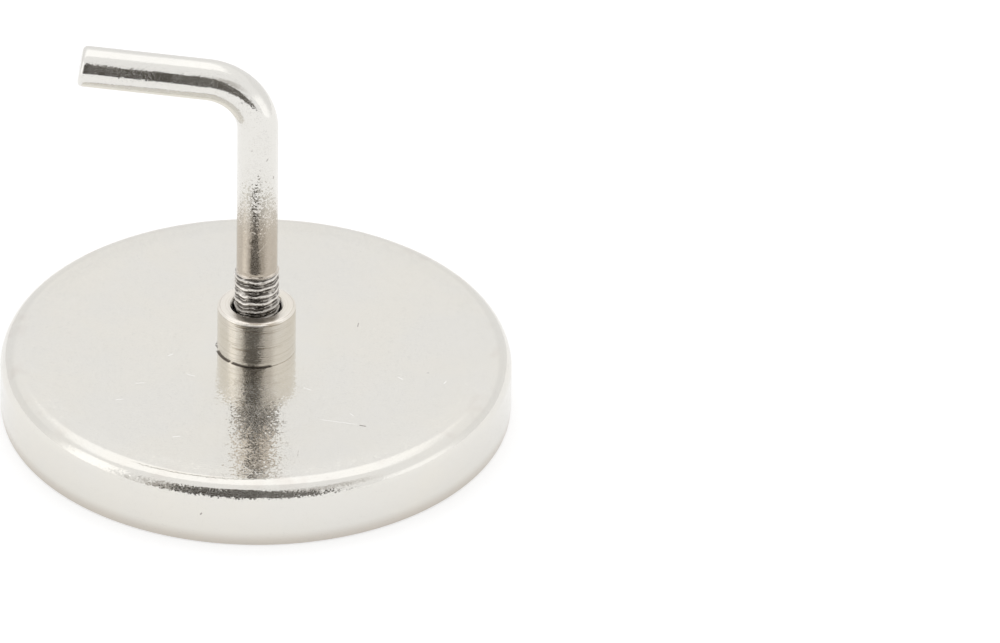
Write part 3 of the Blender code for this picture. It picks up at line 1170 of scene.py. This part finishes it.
def make_floor():
    """A wide white floor that keeps the hook's shadow and hides nothing from below."""
    begin()
    bpy.ops.mesh.primitive_plane_add(size=FLOOR_SIZE, location=(0, 0, 0))
    floor = name_piece("studio_floor")
    material = bpy.data.materials.new("white_floor")
    material.use_nodes = True
    tree = material.node_tree
    tree.nodes.clear()
    diffuse = node(tree, "BsdfDiffuse", FLOOR_GREY)
    both = node(tree, "AddShader", diffuse.outputs[0], floor_glow(tree))
    clear = node(tree, "BsdfTransparent")
    cut = node(tree, "MixShader", floor_opening(tree), both.outputs[0], clear.outputs[0])
    node(tree, "OutputMaterial", cut.outputs[0])
    floor.data.materials.append(material)


def patch_of(tree, azimuth, rise, turn_limits, rise_limits, strength):
    return times(tree, window(tree, azimuth, *turn_limits), window(tree, rise, *rise_limits),
                 strength)


def dark_room(tree, azimuth, rise):
    """The dark room behind the camera, under a sloping ceiling line, and a grey corner."""
    above = rise
    for edge, slope, side in CEILING_SLOPES:
        beyond = plus(tree, azimuth, side, -math.radians(edge))
        above = plus(tree, maths(tree, "MAXIMUM", beyond, 0), slope, above)
    limits = ((azimuth, ROOM_LEFT), (azimuth, ROOM_RIGHT), (rise, ROOM_FLOOR),
              (above, ROOM_CEILING))
    dark = times(tree, *(ramp_degrees(tree, value, *limit) for value, limit in limits))
    return maths(tree, "MAXIMUM", dark, patch_of(tree, azimuth, rise, *GREY_CORNER))


def softbox(tree, front, side, up):
    """The softbox overhead, laid out on a level ceiling, narrower at its far end."""
    over = maths(tree, "MAXIMUM", up, LEAST_RISE)
    ahead = maths(tree, "DIVIDE", front, over)
    aside = maths(tree, "DIVIDE", side, over)
    reach = maths(tree, "MAXIMUM", aside, times(tree, aside, LEFT_SHARE))
    far = maths(tree, "MAXIMUM", maths(tree, "SUBTRACT", TAPER_START, ahead), 0)
    reach = plus(tree, far, TAPER, reach)
    return times(tree, band(tree, ahead, *SOFTBOX_DEPTH), ramp(tree, reach, *SOFTBOX_REACH))


def side_light(tree, azimuth, rise, front):
    """More light from both sides, and a little less from low down behind the hook."""
    left, right = (patch_of(tree, azimuth, rise, *patch) for patch in (LIT_LEFT, LIT_RIGHT))
    behind = times(tree, ramp(tree, front, *BEHIND_FRONT), ramp_degrees(tree, rise, *BEHIND_RISE))
    return maths(tree, "SUBTRACT", maths(tree, "ADD", left, right), behind)


def make_studio():
    """White all round, a softbox overhead and a dark room behind the camera."""
    world = bpy.data.worlds.new("white_studio")
    bpy.context.scene.world = world
    world.use_nodes = True
    tree = world.node_tree
    tree.nodes.clear()
    x, y, z = axes_of(tree, node(tree, "TexCoord").outputs["Generated"])
    sine, cosine = math.sin(CAMERA_AZIMUTH), math.cos(CAMERA_AZIMUTH)
    front = maths(tree, "SUBTRACT", times(tree, x, sine), times(tree, y, cosine))
    side = maths(tree, "ADD", times(tree, x, cosine), times(tree, y, sine))
    azimuth = maths(tree, "ARCTAN2", side, front)
    rise = maths(tree, "ARCSINE", z)
    dark = dark_room(tree, azimuth, rise)
    light = plus(tree, softbox(tree, front, side, z), SOFTBOX_LIGHT, 1)
    light = maths(tree, "ADD", light, side_light(tree, azimuth, rise, front))
    light = times(tree, light, plus(tree, dark, -ROOM_DARKNESS, 1))
    seen = node(tree, "LightPath").outputs["Is Camera Ray"]
    tinted = maths(tree, "SUBTRACT", dark, seen, clamp=True)
    background = node(tree, "Background", mix_colour(tree, tinted, WHITE, ROOM_TINT),
                      maths(tree, "MAXIMUM", light, seen))
    node(tree, "OutputWorld", background.outputs[0])


def make_camera():
    """Stands where the photo was taken from and aims beside the hook, with no shift."""
    data = bpy.data.cameras.new("photo_camera")
    data.sensor_width = SENSOR_WIDTH
    data.lens = SENSOR_WIDTH * FOCAL_PIXELS / PHOTO_WIDTH
    data.clip_start, data.clip_end = CAMERA_CLIP
    camera = bpy.data.objects.new("photo_camera", data)
    bpy.context.scene.collection.objects.link(camera)
    level = math.cos(CAMERA_ELEVATION)
    back = Vector((math.sin(CAMERA_AZIMUTH) * level, -math.cos(CAMERA_AZIMUTH) * level,
                   math.sin(CAMERA_ELEVATION)))
    facing = (-back).to_track_quat("-Z", "Y").to_matrix()
    yaw = Matrix.Rotation(-math.atan(ORIGIN_LEFT / FOCAL_PIXELS), 3, "Y")
    tilt = Matrix.Rotation(math.atan(ORIGIN_BELOW / FOCAL_PIXELS), 3, "X")
    roll = Matrix.Rotation(CAMERA_ROLL, 3, "Z")
    turned = (facing @ roll @ yaw @ tilt).to_4x4()
    camera.matrix_world = Matrix.Translation(back * CAMERA_DISTANCE) @ turned
    bpy.context.scene.camera = camera


def dress(piece, material, body, slot, *nodes):
    piece.data.materials.clear()
    piece.data.materials.append(material)
    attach(piece, body)
    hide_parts(*nodes)


def main():
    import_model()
    effects = {"grain": plating_grain_group(), "pits": pits_group(), "nick": nick_group(),
               "scratches": scratches_group()}
    dress(make_cup(), cup_finish(effects), "pot", "pot_plate", "pot_cup")
    dress(make_bush(), bush_finish(effects), "pot", "bush_plate", "threaded_bush")
    dress(make_hook(), hook_finish(effects), "hook", "rod_plate", "hook_rod")
    dress(make_magnet(), ferrite_finish(effects), "pot", "ferrite", "ring_magnet")
    dress(make_bed(), resin_finish("amber_resin", effects, *AMBER),
          "pot", "bonding_resin", "adhesive_bed")
    dress(make_potting(), resin_finish("black_resin", effects, *BLACK),
          "pot", "potting_resin", "potting_ring")
    make_floor()
    make_studio()
    make_camera()
    bpy.context.scene.view_settings.view_transform = "Standard"


main()
